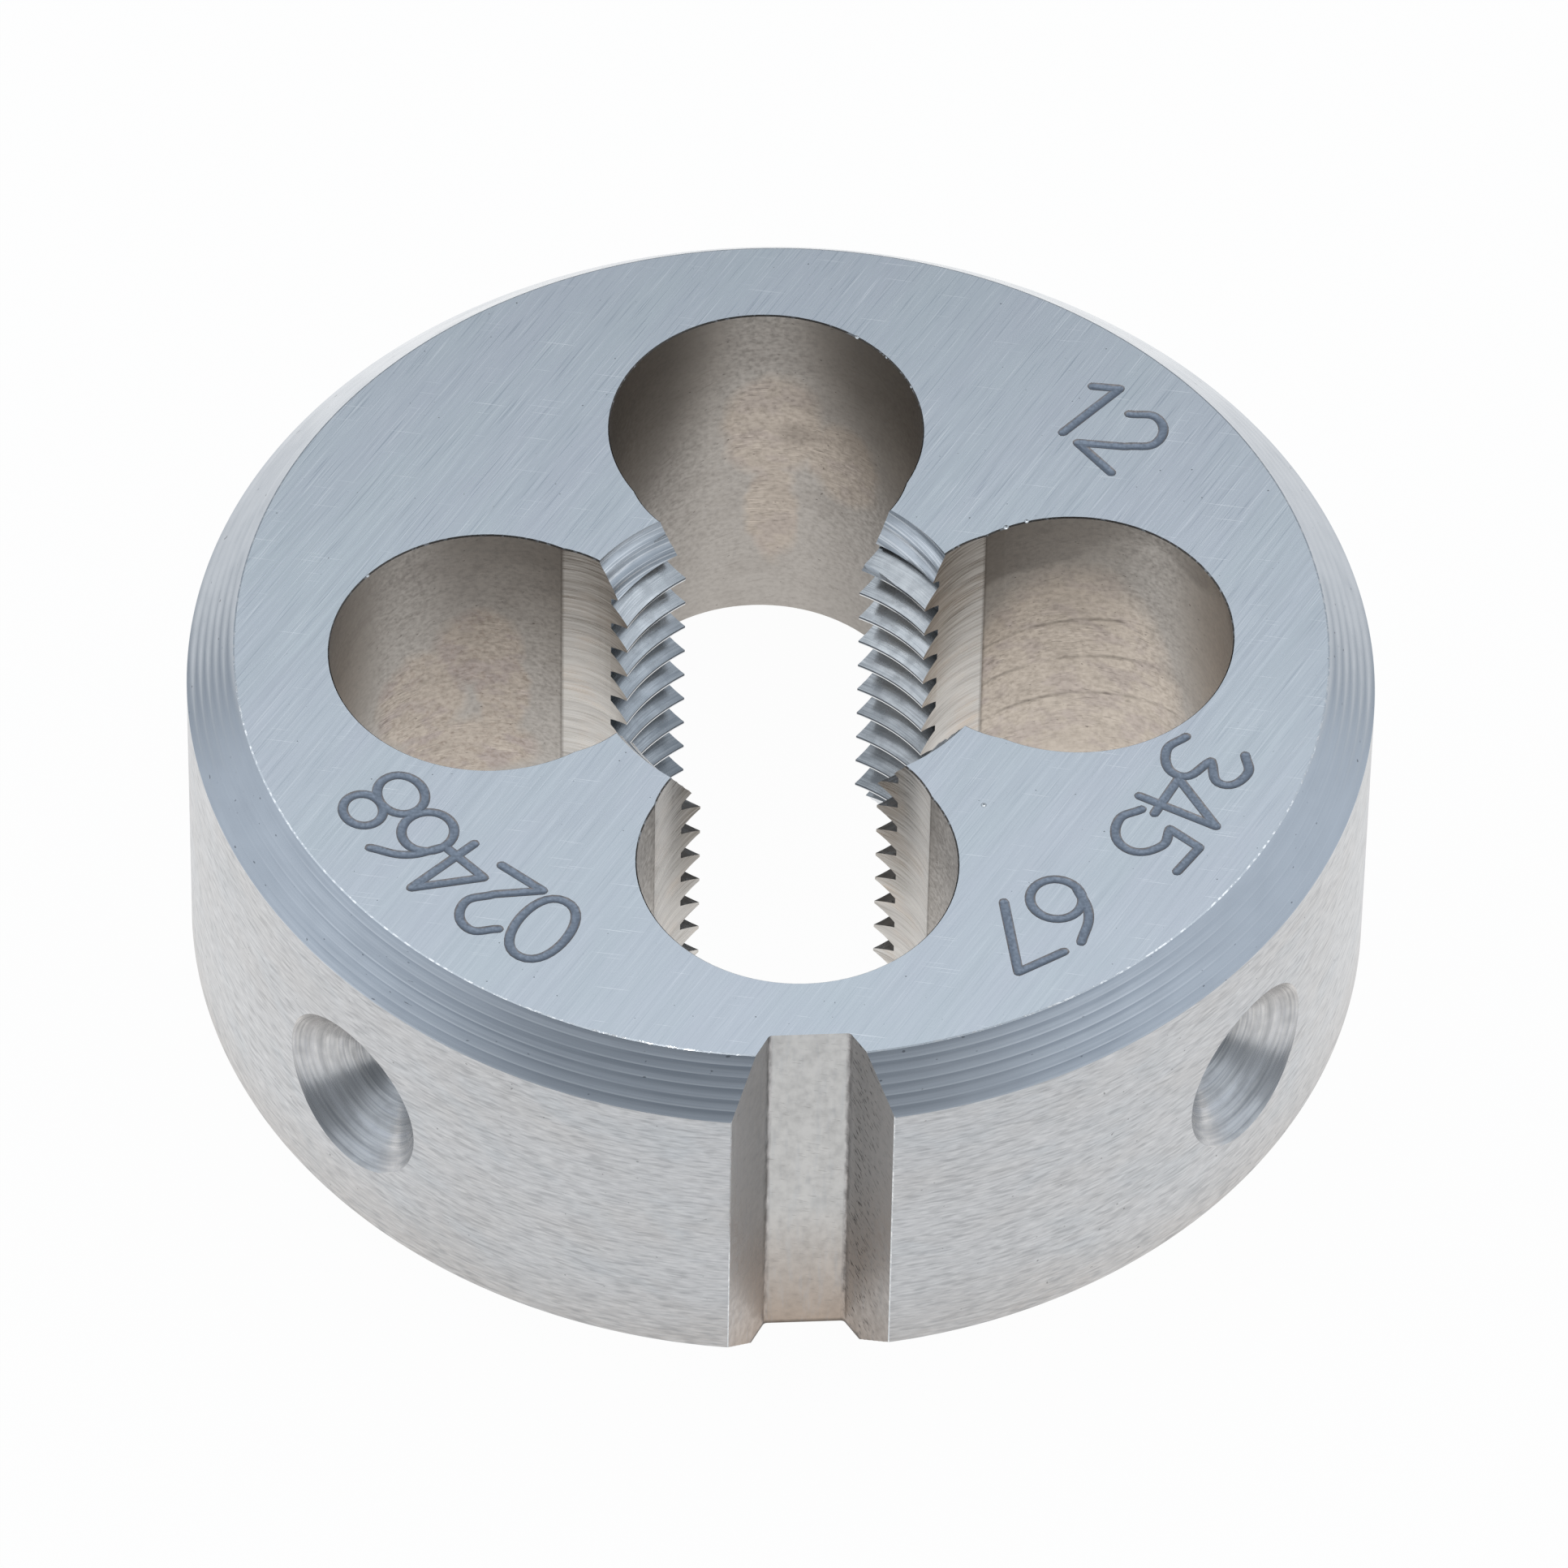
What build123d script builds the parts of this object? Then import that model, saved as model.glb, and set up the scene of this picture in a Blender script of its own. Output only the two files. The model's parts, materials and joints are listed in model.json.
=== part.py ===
from build123d import *
import os
from math import ceil, cos, radians, sin, tan

# A round threading die: one hardened steel disc that cuts a left-hand external thread.
# The origin is at the centre of the bottom face, +Z is the die's axis, and the adjusting slot faces -Y.
# Sizes are in millimetres and angles in degrees. Angles round the axis count anticlockwise from +X,
# seen from above.

# Body
body_diameter = 30.0
body_thickness = 11.0
rim_chamfer = 1.2

# Adjusting slot in the rim, for the die stock's middle screw
slot_depth = 1.9
slot_floor_width = 2.0
slot_angle = 60.0
slot_corner_radius = 0.12

# Dimples in the rim, for the die stock's clamping screws
dimple_diameter = 4.8
dimple_angle = 90.0
dimple_spread = 49.0  # from the slot, to each side

# Chip holes, and the hook-ground faces that open them into the thread
land_count = 4
chip_hole_diameter = 8.0
chip_hole_distance = 7.4
rake_radius = 2.84
rake_inset = 1.21  # from the chip hole's centre towards the axis
rake_offset = 0.73  # to each side of the chip hole's centre line

# Thread
thread_crest_radius = 4.38
thread_pitch = 0.907
thread_angle = 55.0
crest_share = 0.10  # flat left on a tooth's crest, as a share of the pitch
root_share = 0.22  # flat at the bottom of a groove, as a share of the pitch
thread_phase = 0.165  # height of a groove's middle above the bottom face, at +X

# Lead cones, which start the cut on either face
lead_mouth_radius = 5.265
lead_angle = 70.0
lead_relief = 0.5  # each land's cone stands this far off the axis, towards the heel

rim_radius = body_diameter / 2
mid_height = body_thickness / 2
land_step = 360 / land_count
overrun = 1.0  # how far a cutter reaches outside the steel

# Clamping dimple, drilled with its axis along +X
with BuildPart() as dimple_cutter:
    dimple_slope = tan(radians(dimple_angle / 2))
    dimple_tip = rim_radius - dimple_diameter / 2 / dimple_slope
    dimple_end = rim_radius + overrun
    with BuildSketch(Plane.XZ):
        with BuildLine():
            Polyline(
                (dimple_tip, mid_height),
                (dimple_end, mid_height),
                (dimple_end, mid_height + (dimple_end - dimple_tip) * dimple_slope),
                close=True,
            )
        make_face()
    revolve(axis=Axis((0, 0, mid_height), (1, 0, 0)))

# Lead cone of the first land, eased off from the cutting edge to the heel, in that land's own sector
with BuildPart() as lead_cutter:
    lead_slope = tan(radians(lead_angle / 2))
    lead_top_radius = lead_mouth_radius + overrun * lead_slope
    heel_direction = radians(land_step / 2 + 90)
    with Locations(
        (lead_relief * cos(heel_direction), lead_relief * sin(heel_direction), body_thickness + overrun)
    ):
        Cone(
            bottom_radius=0,
            top_radius=lead_top_radius,
            height=lead_top_radius / lead_slope,
            align=(Align.CENTER, Align.CENTER, Align.MAX),
        )
    with BuildSketch():
        with BuildLine():
            Polyline(
                (0, 0),
                (body_diameter, 0),
                (body_diameter * cos(radians(land_step)), body_diameter * sin(radians(land_step))),
                close=True,
            )
        make_face()
    extrude(amount=body_thickness + overrun, mode=Mode.INTERSECT)

# Thread groove across one land, on the left-hand helix, starting at +X. The section starts just inside
# the crests, where the grooves above and below still keep clear of it.
with BuildPart() as groove_cutter:
    flank_slope = tan(radians(thread_angle / 2))
    thread_depth = thread_pitch * (1 - crest_share - root_share) / (2 * flank_slope)
    groove_start = 0.6 * thread_pitch * crest_share / (2 * flank_slope)
    root_half = thread_pitch * root_share / 2
    start_half = root_half + (thread_depth + groove_start) * flank_slope
    with BuildLine() as groove_path:
        Helix(
            pitch=thread_pitch,
            height=thread_pitch * land_step / 2 / 360,
            radius=thread_crest_radius,
            lefthand=True,
        )
    with BuildSketch(Plane(groove_path.line @ 0, x_dir=(1, 0, 0), z_dir=groove_path.line % 0)):
        with BuildLine():
            Polyline(
                (-groove_start, -start_half),
                (thread_depth, -root_half),
                (thread_depth, root_half),
                (-groove_start, start_half),
                close=True,
            )
        make_face()
    sweep(path=groove_path.line, is_frenet=True)

with BuildPart() as threading_die:
    # Disc with its two turned chamfers
    Cylinder(rim_radius, body_thickness, align=(Align.CENTER, Align.CENTER, Align.MIN))
    chamfer(threading_die.edges().filter_by(GeomType.CIRCLE), rim_chamfer)

    # Adjusting slot: a flat floor between two sloping sides, over the full height
    with BuildSketch() as slot_section:
        slot_reach = slot_depth + overrun
        mouth_half = slot_floor_width / 2 + slot_reach * tan(radians(slot_angle / 2))
        with BuildLine():
            Polyline(
                (-slot_floor_width / 2, slot_depth - rim_radius),
                (slot_floor_width / 2, slot_depth - rim_radius),
                (mouth_half, -rim_radius - overrun),
                (-mouth_half, -rim_radius - overrun),
                close=True,
            )
        make_face()
        fillet(slot_section.vertices().group_by(Axis.Y)[-1], slot_corner_radius)
    extrude(amount=body_thickness, mode=Mode.SUBTRACT)

    # Clamping dimples, one each side of the slot
    with PolarLocations(0, 2, start_angle=-90 - dimple_spread, angular_range=4 * dimple_spread):
        add(dimple_cutter.part, mode=Mode.SUBTRACT)

    # Chip holes with their rake faces, and the bore that leaves the thread's crests
    with BuildSketch():
        Circle(thread_crest_radius)
        with PolarLocations(chip_hole_distance, land_count):
            Circle(chip_hole_diameter / 2)
            with Locations((-rake_inset, rake_offset), (-rake_inset, -rake_offset)):
                Circle(rake_radius)
    extrude(amount=body_thickness, mode=Mode.SUBTRACT)

    # Lead cones on the top face, and the same cutters turned over for the bottom face
    with Locations(Location(), Location((0, 0, body_thickness), (180, 0, 0))):
        with PolarLocations(0, land_count):
            add(lead_cutter.part, mode=Mode.SUBTRACT)

    # Thread: a groove for each turn on each land, from a quarter step before the land to one after it
    land_starts = [land_step * (land + 0.75) for land in range(land_count)]
    turns = range(ceil(body_thickness / thread_pitch) + 3)
    with Locations(
        [
            Location((0, 0, thread_phase + thread_pitch * (turn - 1 - start / 360)), (0, 0, start))
            for start in land_starts
            for turn in turns
        ]
    ):
        add(groove_cutter.part, mode=Mode.SUBTRACT)

threading_die.part.label = "threading_die"

os.makedirs("parts", exist_ok=True)
export_step(threading_die.part, "parts/threading_die.step")
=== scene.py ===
import json
from math import cos, pi, radians, sin, tan, tau

import bmesh
import bpy
from mathutils import Matrix, Vector

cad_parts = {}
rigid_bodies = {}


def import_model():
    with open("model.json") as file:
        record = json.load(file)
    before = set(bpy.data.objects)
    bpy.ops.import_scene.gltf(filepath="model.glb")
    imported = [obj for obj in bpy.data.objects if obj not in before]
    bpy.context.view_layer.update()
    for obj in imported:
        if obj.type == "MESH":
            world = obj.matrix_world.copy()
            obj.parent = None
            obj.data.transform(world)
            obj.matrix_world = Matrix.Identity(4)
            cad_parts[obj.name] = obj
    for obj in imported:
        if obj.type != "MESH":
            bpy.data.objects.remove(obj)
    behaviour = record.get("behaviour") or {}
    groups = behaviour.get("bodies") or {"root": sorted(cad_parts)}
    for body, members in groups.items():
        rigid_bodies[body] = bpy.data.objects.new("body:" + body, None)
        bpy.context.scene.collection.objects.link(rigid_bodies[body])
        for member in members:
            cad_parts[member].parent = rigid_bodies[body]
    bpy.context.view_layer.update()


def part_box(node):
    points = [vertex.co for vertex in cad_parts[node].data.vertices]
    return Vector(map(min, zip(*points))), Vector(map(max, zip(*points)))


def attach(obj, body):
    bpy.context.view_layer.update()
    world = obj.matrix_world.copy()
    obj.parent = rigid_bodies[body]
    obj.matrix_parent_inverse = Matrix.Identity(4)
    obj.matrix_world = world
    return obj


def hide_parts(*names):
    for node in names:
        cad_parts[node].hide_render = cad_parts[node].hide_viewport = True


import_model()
dieLow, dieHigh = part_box("threading_die")
mm = 0.001  # everything is worked out in millimetres and brought to metres at the end
print("frame loaded")

# Sizes are in millimetres and degrees. Angles run anticlockwise from +X, and the adjusting slot faces -Y.
dieShape = {
    "diameter": (dieHigh.x - dieLow.x) / mm - 0.0002,  # a hair inside the CAD solid's box
    "thickness": (dieHigh.z - dieLow.z) / mm - 0.0001,
    "chamfer": 1.2,
    "chamferRidges": 6,  # turned bands on each chamfer
    "ridgeDepth": 0.006,
    "edgeBreak": 0.026,  # the small worn facet along an edge
    "holeBreak": 0.035,
    "lands": 4,
    "rimSteps": 288,
    "sharpAngle": 14.0,  # edges that turn by more than this are shaded sharp
}
radius = dieShape["diameter"] / 2
thickness = dieShape["thickness"]
landStep = 360 / dieShape["lands"]
overrun = 1.0  # how far a cutter reaches outside the steel


def linear(hexColour):  # sRGB hex to the linear colour that a shader takes
    parts = [int(hexColour[i : i + 2], 16) / 255 for i in (1, 3, 5)]
    return tuple(p / 12.92 if p <= 0.04045 else ((p + 0.055) / 1.055) ** 2.4 for p in parts) + (1.0,)


# Adds one node. The values fill its inputs in order, or one dictionary fills them by name or number.
def addNode(tree, kind, *values, **settings):
    node = tree.nodes.new("ShaderNode" + kind)
    for name, value in settings.items():
        setattr(node, name, value)
    inputs = values[0] if values and isinstance(values[0], dict) else dict(enumerate(values))
    for name, value in inputs.items():
        if isinstance(value, bpy.types.NodeSocket):
            tree.links.new(value, node.inputs[name])
        else:
            node.inputs[name].default_value = value
    return node.outputs


def newMaterial(name):
    material = bpy.data.materials.new(name)
    material.use_nodes = True
    material.node_tree.nodes.clear()
    return material, material.node_tree


def millimetres(tree):  # the object's own coordinates in millimetres, whole and split
    own = addNode(tree, "TexCoord")["Object"]
    place = addNode(tree, "VectorMath", {"Vector": own, "Scale": 1 / mm}, operation="SCALE")[0]
    return (place, *addNode(tree, "SeparateXYZ", place))


def fades(tree, operation, *spans):  # even changes, each (value, from, to, start, end), made one mask
    masks = [addNode(tree, "MapRange", *span)[0] for span in spans]
    whole = masks[0]
    for mask in masks[1:]:
        whole = addNode(tree, "Math", whole, mask, operation=operation)[0]
    return whole


def grain(tree, place, size, band, turn=(0, 0, 0), detail=2.0):  # 0 to 1, in features of this size in mm
    turned = addNode(tree, "Mapping", {"Vector": place, "Rotation": [radians(angle) for angle in turn],
                                       "Scale": size}, vector_type="TEXTURE")[0]
    noise = addNode(tree, "TexNoise", {"Vector": turned, "Scale": 1.0, "Detail": detail, "Roughness": 0.55})[0]
    return addNode(tree, "MapRange", noise, *band)[0]


def uneven(tree, place, size, reach):  # shifts places about, so that a stain's outline is ragged
    noise = addNode(tree, "TexNoise", {"Vector": place, "Scale": 1 / size, "Detail": 3.0})["Color"]
    centred = addNode(tree, "VectorMath", noise, (0.5, 0.5, 0.5), operation="SUBTRACT")[0]
    return addNode(tree, "VectorMath", centred, (2 * reach,) * 3, place, operation="MULTIPLY_ADD")[0]


def stain(tree, place, centre, size, soft):  # 1 inside an ellipsoid of these half sizes, fading at its edge
    moved = addNode(tree, "Mapping", {"Vector": place, "Location": centre, "Scale": size},
                    vector_type="TEXTURE")[0]
    reach = addNode(tree, "VectorMath", moved, operation="LENGTH")["Value"]
    return addNode(tree, "MapRange", reach, 1, 1 - soft)[0]


def stains(tree, place, spots, soft):  # several of them together
    mask = 0.0
    for centre, size in spots:
        mask = addNode(tree, "Math", mask, stain(tree, place, centre, size, soft), operation="MAXIMUM")[0]
    return mask


# Lays each (mask, colour, share) over what is below it. A layer with several masks shows where all of them do.
def layered(tree, look, base, layers):
    colour = linear(look[base])
    for masks, over, share in layers:
        for mask in masks if isinstance(masks, tuple) else (masks,):
            share = addNode(tree, "Math", mask, share, operation="MULTIPLY")[0]
        colour = addNode(tree, "Mix", {0: share, 6: colour, 7: linear(look[over])}, data_type="RGBA")[2]
    return colour


# Bare steel, rougher or smoother by a mask. Each of the heights is a mask and its rise in micrometres.
def finishSteel(tree, colour, mask, roughness, heights, anisotropy=0.0, tangent=None):
    if mask:
        roughness = addNode(tree, "MapRange", mask, 0, 1, *roughness)[0]
    normal = {}
    for height, rise in heights:
        bump = addNode(tree, "Bump", {"Height": height, "Distance": rise * 1e-6, "Strength": 1.0, **normal})[0]
        normal = {"Normal": bump}
    inputs = {"Base Color": colour, "Metallic": 1.0, "Roughness": roughness, **normal}
    inputs["Anisotropic"] = anisotropy
    if tangent:
        inputs["Tangent"] = addNode(tree, "CombineXYZ", *tangent)[0]
    shader = addNode(tree, "BsdfPrincipled", inputs)[0]
    addNode(tree, "OutputMaterial", {"Surface": shader})


faceLook = {
    "colour": "#cdd4d9",
    "darkLines": "#8f9aa6",
    "lilac": "#cccad8",
    "brightLines": "#f2f5f8",
    "pits": "#55585c",
    "grindAngle": 56.0,
    "roughness": (0.22, 0.34),
}


# Surface-ground hardened steel: straight fine lines that all run one way, with a cool satin sheen.
# Real grinding lines are about 0.01 mm wide. They are drawn 0.03 to 0.14 mm wide, so that they show.
def makeGroundFace():
    look = faceLook
    material, tree = newMaterial("groundToolSteelFace")
    place, _, y, _ = millimetres(tree)
    turn = (0, 0, look["grindAngle"])
    fine = grain(tree, place, (2.4, 0.045, 1), (0.3, 0.7), turn)
    broad = grain(tree, place, (5, 0.14, 1), (0.3, 0.7), turn)
    cloud = grain(tree, place, (7, 2.0, 1), (0.35, 0.65), turn)
    scores = grain(tree, place, (2.5, 0.035, 1), (0.62, 0.70), turn, 1.0)
    dark = grain(tree, place, (2.2, 0.04, 1), (0.40, 0.29), turn, 1.0)
    grit = grain(tree, place, (0.10, 0.06, 0.06), (0.3, 0.7), turn, 1.0)
    strayScratches = grain(tree, place, (1.6, 0.03, 1), (0.78, 0.82), (0, 0, -12), 0.0)
    pits = grain(tree, place, (0.09, 0.09, 0.09), (0.845, 0.88), detail=0.0)
    far = addNode(tree, "MapRange", y, -9, 6, 0.35, 1.0)[0]  # the wheel's lines are clearest at the rear
    near = addNode(tree, "Math", 1.0, far, operation="SUBTRACT")[0]
    broad = addNode(tree, "Math", broad, far, operation="MULTIPLY")[0]
    colour = layered(tree, look, "colour", [
        (near, "darkLines", 0.26), (cloud, "lilac", 0.22), (broad, "darkLines", 0.14),
        (fine, "darkLines", 0.12), ((dark, far), "darkLines", 0.46), ((scores, far), "brightLines", 0.40),
        (grit, "darkLines", 0.03), (strayScratches, "brightLines", 0.5), (pits, "pits", 0.7)])
    across = radians(look["grindAngle"] + 90)
    finishSteel(tree, colour, broad, look["roughness"], [(fine, 0.10), (broad, 0.18)],
                0.4, (cos(across), sin(across), 0))
    return material


chamferLook = {
    "colour": "#d5dae0",
    # dark colour of the rings, also used as painted shade
    "darkRingsAndShade": "#8f98a3",
    # bright colour, used only as painted highlight and painted reflection
    "paintedHighlight": "#f2f5f8",
    "pits": "#4c5056",
    "roughness": (0.18, 0.27),
}


# Turned steel: ridges left by the lathe tool, with a painted highlight along their crests and painted shade
# below them, both strongest at the front.
# The tool's finest rings are too fine to show, so the thinnest are drawn 0.04 mm wide.
def makeTurnedChamfer():
    look = chamferLook
    material, tree = newMaterial("turnedToolSteelChamfer")
    place, x, y, height = millimetres(tree)
    sideways = addNode(tree, "Math", x, operation="ABSOLUTE")[0]
    raised = addNode(tree, "Math", height, thickness / 2, operation="SUBTRACT")[0]
    outwards = addNode(tree, "Math", raised, operation="ABSOLUTE")[0]
    ridge = addNode(tree, "MapRange", outwards, thickness / 2 - dieShape["chamfer"], thickness / 2,
                    0, dieShape["chamferRidges"])[0]
    band = addNode(tree, "Math", ridge, operation="FRACT")[0]  # 0 on a crest, rising to 1 just under the next
    clear = fades(tree, "MINIMUM", (x, -13.5, -12, 0.25, 1.0), (x, 10.5, 7.5, 0.25, 1.0))
    # Painted shade towards the left and right ends, where the rings are also toned down
    paintedShadeAtEnds = addNode(tree, "Math", 1.0, clear, operation="SUBTRACT")[0]
    rings = grain(tree, place, (9, 9, 0.04), (0.3, 0.7))
    wideRings = grain(tree, place, (14, 14, 0.20), (0.3, 0.7))
    rings = addNode(tree, "Math", rings, clear, operation="MULTIPLY")[0]
    wideRings = addNode(tree, "Math", wideRings, clear, operation="MULTIPLY")[0]
    broken = grain(tree, place, (3.5, 3.5, 0.22), (0.25, 0.52))  # breaks the crests up along their length
    # The painted crest highlights and the painted shade below them are strongest towards the front
    front = addNode(tree, "MapRange", y, -4, -12, 0.2, 1.0)[0]
    paintedHighlight = addNode(tree, "MapRange", band, 0.17, 0.07)[0]
    paintedShadeBelowCrests = addNode(tree, "MapRange", band, 0.45, 0.92)[0]
    patches = grain(tree, place, (1.2, 1.2, 0.4), (0.4, 0.75), detail=4.0)
    pits = grain(tree, place, (0.2, 0.2, 0.07), (0.83, 0.87), detail=0.0)
    # Painted reflection: the rear of the chamfer is made brighter with the highlight colour
    paintedRearReflection = addNode(tree, "MapRange", y, 8, 12)[0]
    # Painted shade on the chamfer's left and right sides
    sides = fades(tree, "MINIMUM", (sideways, 11, 12.5), (y, -3, -0.5), (y, 9.5, 7.5))
    # Painted highlight on the chamfer to the right of the slot
    besideSlot = fades(tree, "MINIMUM", (x, 1.0, 2.0), (x, 7, 4))
    colour = layered(tree, look, "colour", [
        (paintedShadeAtEnds, "darkRingsAndShade", 0.34), (wideRings, "darkRingsAndShade", 0.28), (rings, "darkRingsAndShade", 0.24),
        (patches, "darkRingsAndShade", 0.12), (sides, "darkRingsAndShade", 0.16), (paintedRearReflection, "paintedHighlight", 0.6),
        ((paintedShadeBelowCrests, broken, front, clear), "darkRingsAndShade", 0.48),
        ((paintedHighlight, broken, front, clear), "paintedHighlight", 0.42), (besideSlot, "paintedHighlight", 0.10), (pits, "pits", 0.6)])
    finishSteel(tree, colour, patches, look["roughness"], [(rings, 0.4), (wideRings, 0.8)], 0.2, (0, 0, 1))
    return material


rimLook = {
    "colour": "#d1d2d4",
    # dark streaks, and the painted shade low at the front
    "darkStreaksAndShade": "#85878a",
    # bright streaks, and the painted reflection at the sides
    "brightStreaksAndReflection": "#ececec",
    "warmth": "#bdb1a4",
    "coolness": "#b7c2ca",
    "pits": "#5a5a5a",
    "roughness": (0.28, 0.42),
}


# Centreless-ground steel: short level streaks over a neutral grey, with faint warm and cool patches, a painted
# reflection towards the sides and painted shade low at the front.
# Real streaks are about 0.01 mm wide. They are drawn 0.05 to 0.12 mm wide, so that they show.
def makeGroundRim():
    look = rimLook
    material, tree = newMaterial("groundToolSteelRim")
    place, x, _, height = millimetres(tree)
    streaks = grain(tree, place, (0.65, 0.65, 0.12), (0.34, 0.66))
    fineStreaks = grain(tree, place, (0.38, 0.38, 0.055), (0.32, 0.68))
    darks = grain(tree, place, (0.55, 0.55, 0.09), (0.50, 0.30), detail=1.0)
    warmPatches = grain(tree, place, (3.5, 3.5, 1.6), (0.48, 0.68))
    coolPatches = grain(tree, place, (2.6, 2.6, 1.2), (0.52, 0.66), (20, 30, 0))
    pits = grain(tree, place, (0.13, 0.13, 0.09), (0.85, 0.88), detail=0.0)
    sideways = addNode(tree, "Math", x, operation="ABSOLUTE")[0]
    # Painted reflection: the rim is made brighter towards its left and right sides
    paintedSideReflection = addNode(tree, "MapRange", sideways, 11, 14.5)[0]
    foot = addNode(tree, "MapRange", height, 3.0, 0.5)[0]
    # With the front mask below: painted shade low on the front of the rim
    low = addNode(tree, "MapRange", height, 5.5, 1.5)[0]
    front = fades(tree, "MINIMUM", (x, 7, 4), (x, -11, -8))
    colour = layered(tree, look, "colour", [
        (paintedSideReflection, "brightStreaksAndReflection", 0.35), (warmPatches, "warmth", 0.14), (coolPatches, "coolness", 0.22),
        (foot, "warmth", 0.52), ((low, front), "darkStreaksAndShade", 0.18), (streaks, "brightStreaksAndReflection", 0.40),
        (darks, "darkStreaksAndShade", 0.34), (fineStreaks, "darkStreaksAndShade", 0.32), (pits, "pits", 0.6)])
    finishSteel(tree, colour, streaks, look["roughness"], [(streaks, 1.2), (fineStreaks, 0.6)], 0.3, (0, 0, 1))
    return material


edgeLooks = {
    "rubbedSteelFaceEdge": {"colour": "#cdd3d9", "specks": "#ffffff", "share": 0.8, "band": (0.50, 0.62)},
    "rubbedBrightSteelEdge": {"colour": "#d3d7da", "specks": "#ffffff", "share": 0.55, "band": (0.46, 0.64)},
    # dark, partly as painted shade where the holes open
    "darkSteelHoleEdgeAndShade": {"colour": "#55514d", "specks": "#b4b7ba", "share": 0.5, "band": (0.56, 0.68)},
}
edgeRoughness = (0.26, 0.12)  # of an edge, and of the specks in it


# Rubbed steel edges: polished by handling, with uneven specks that glint. The hole edges are dark, partly as
# painted shade at the hole mouths
def makeEdge(name):
    look = edgeLooks[name]
    material, tree = newMaterial(name)
    specks = grain(tree, millimetres(tree)[0], (0.16, 0.16, 0.16), look["band"])
    colour = layered(tree, look, "colour", [(specks, "specks", look["share"])])
    finishSteel(tree, colour, specks, edgeRoughness, [(specks, 1.0)])
    return material


groundFace = makeGroundFace()
turnedChamfer = makeTurnedChamfer()
groundRim = makeGroundRim()
faceEdge, brightEdge, holeEdge = [makeEdge(name) for name in edgeLooks]


def newPiece(name, bm, materials, collection=None):
    mesh = bpy.data.meshes.new(name)
    bm.to_mesh(mesh)
    bm.free()
    for material in materials:
        mesh.materials.append(material)
    piece = bpy.data.objects.new(name, mesh)
    (collection or bpy.context.scene.collection).objects.link(piece)
    return piece


def latheMesh(profile, steps, place=Matrix()):  # turns a run of (radius, height) points into a capped solid
    bm = bmesh.new()
    verts = [bm.verts.new((r, 0, z)) for r, z in profile]
    edges = [bm.edges.new(pair) for pair in zip(verts, verts[1:])]
    bmesh.ops.spin(bm, geom=verts + edges, cent=(0, 0, 0), axis=(0, 0, 1), angle=tau, steps=steps,
                   use_merge=True)
    bmesh.ops.remove_doubles(bm, verts=bm.verts, dist=1e-6)
    bmesh.ops.holes_fill(bm, edges=[e for e in bm.edges if e.is_boundary], sides=0)
    bmesh.ops.recalc_face_normals(bm, faces=bm.faces)
    bmesh.ops.transform(bm, matrix=place, verts=bm.verts)
    return bm


def ridgedLine(start, end, ridges, depth, steps=4):  # shallow turned hollows along a line, each with a crest
    start, end = Vector(start), Vector(end)
    along = end - start
    inward = Vector((-along.y, along.x)).normalized()
    if inward.x > 0:
        inward = -inward
    points = []
    for i in range(ridges * steps):
        u = (i % steps) / steps
        points.append(start + along * (i / (ridges * steps)) + inward * (depth * 4 * u * (1 - u)))
    return [tuple(p) for p in points] + [tuple(end)]


# Blank: the turned disc with its ridged chamfers and small edge breaks
def makeBlank():
    s = dieShape
    b = s["edgeBreak"]
    face = radius - s["chamfer"]
    upper, lower = b * 0.6, b / 4  # how far the ridges keep off the chamfer's two corners
    topRun = ridgedLine((face + upper, thickness - upper), (radius - lower, thickness - s["chamfer"] + lower),
                        s["chamferRidges"], s["ridgeDepth"])
    half = [(face - b, thickness)] + topRun + [(radius, thickness - s["chamfer"] - lower)]
    profile = half + [(r, thickness - z) for r, z in reversed(half)]
    bm = latheMesh(profile, s["rimSteps"])
    for f in bm.faces:
        middle = f.calc_center_median()
        out, up = middle.xy.length, abs(middle.z - thickness / 2)
        flat, edge, slope = up > thickness / 2 - 1e-4, out < face + b, up > thickness / 2 - s["chamfer"]
        f.material_index = 0 if flat else 1 if edge else 2 if slope else 3
    return newPiece("threadingDieDressed", bm, [groundFace, faceEdge, turnedChamfer, groundRim])


cutters = bpy.data.collections.new("cutters")
bpy.context.scene.collection.children.link(cutters)
die = makeBlank()
print("blank turned")


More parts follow.
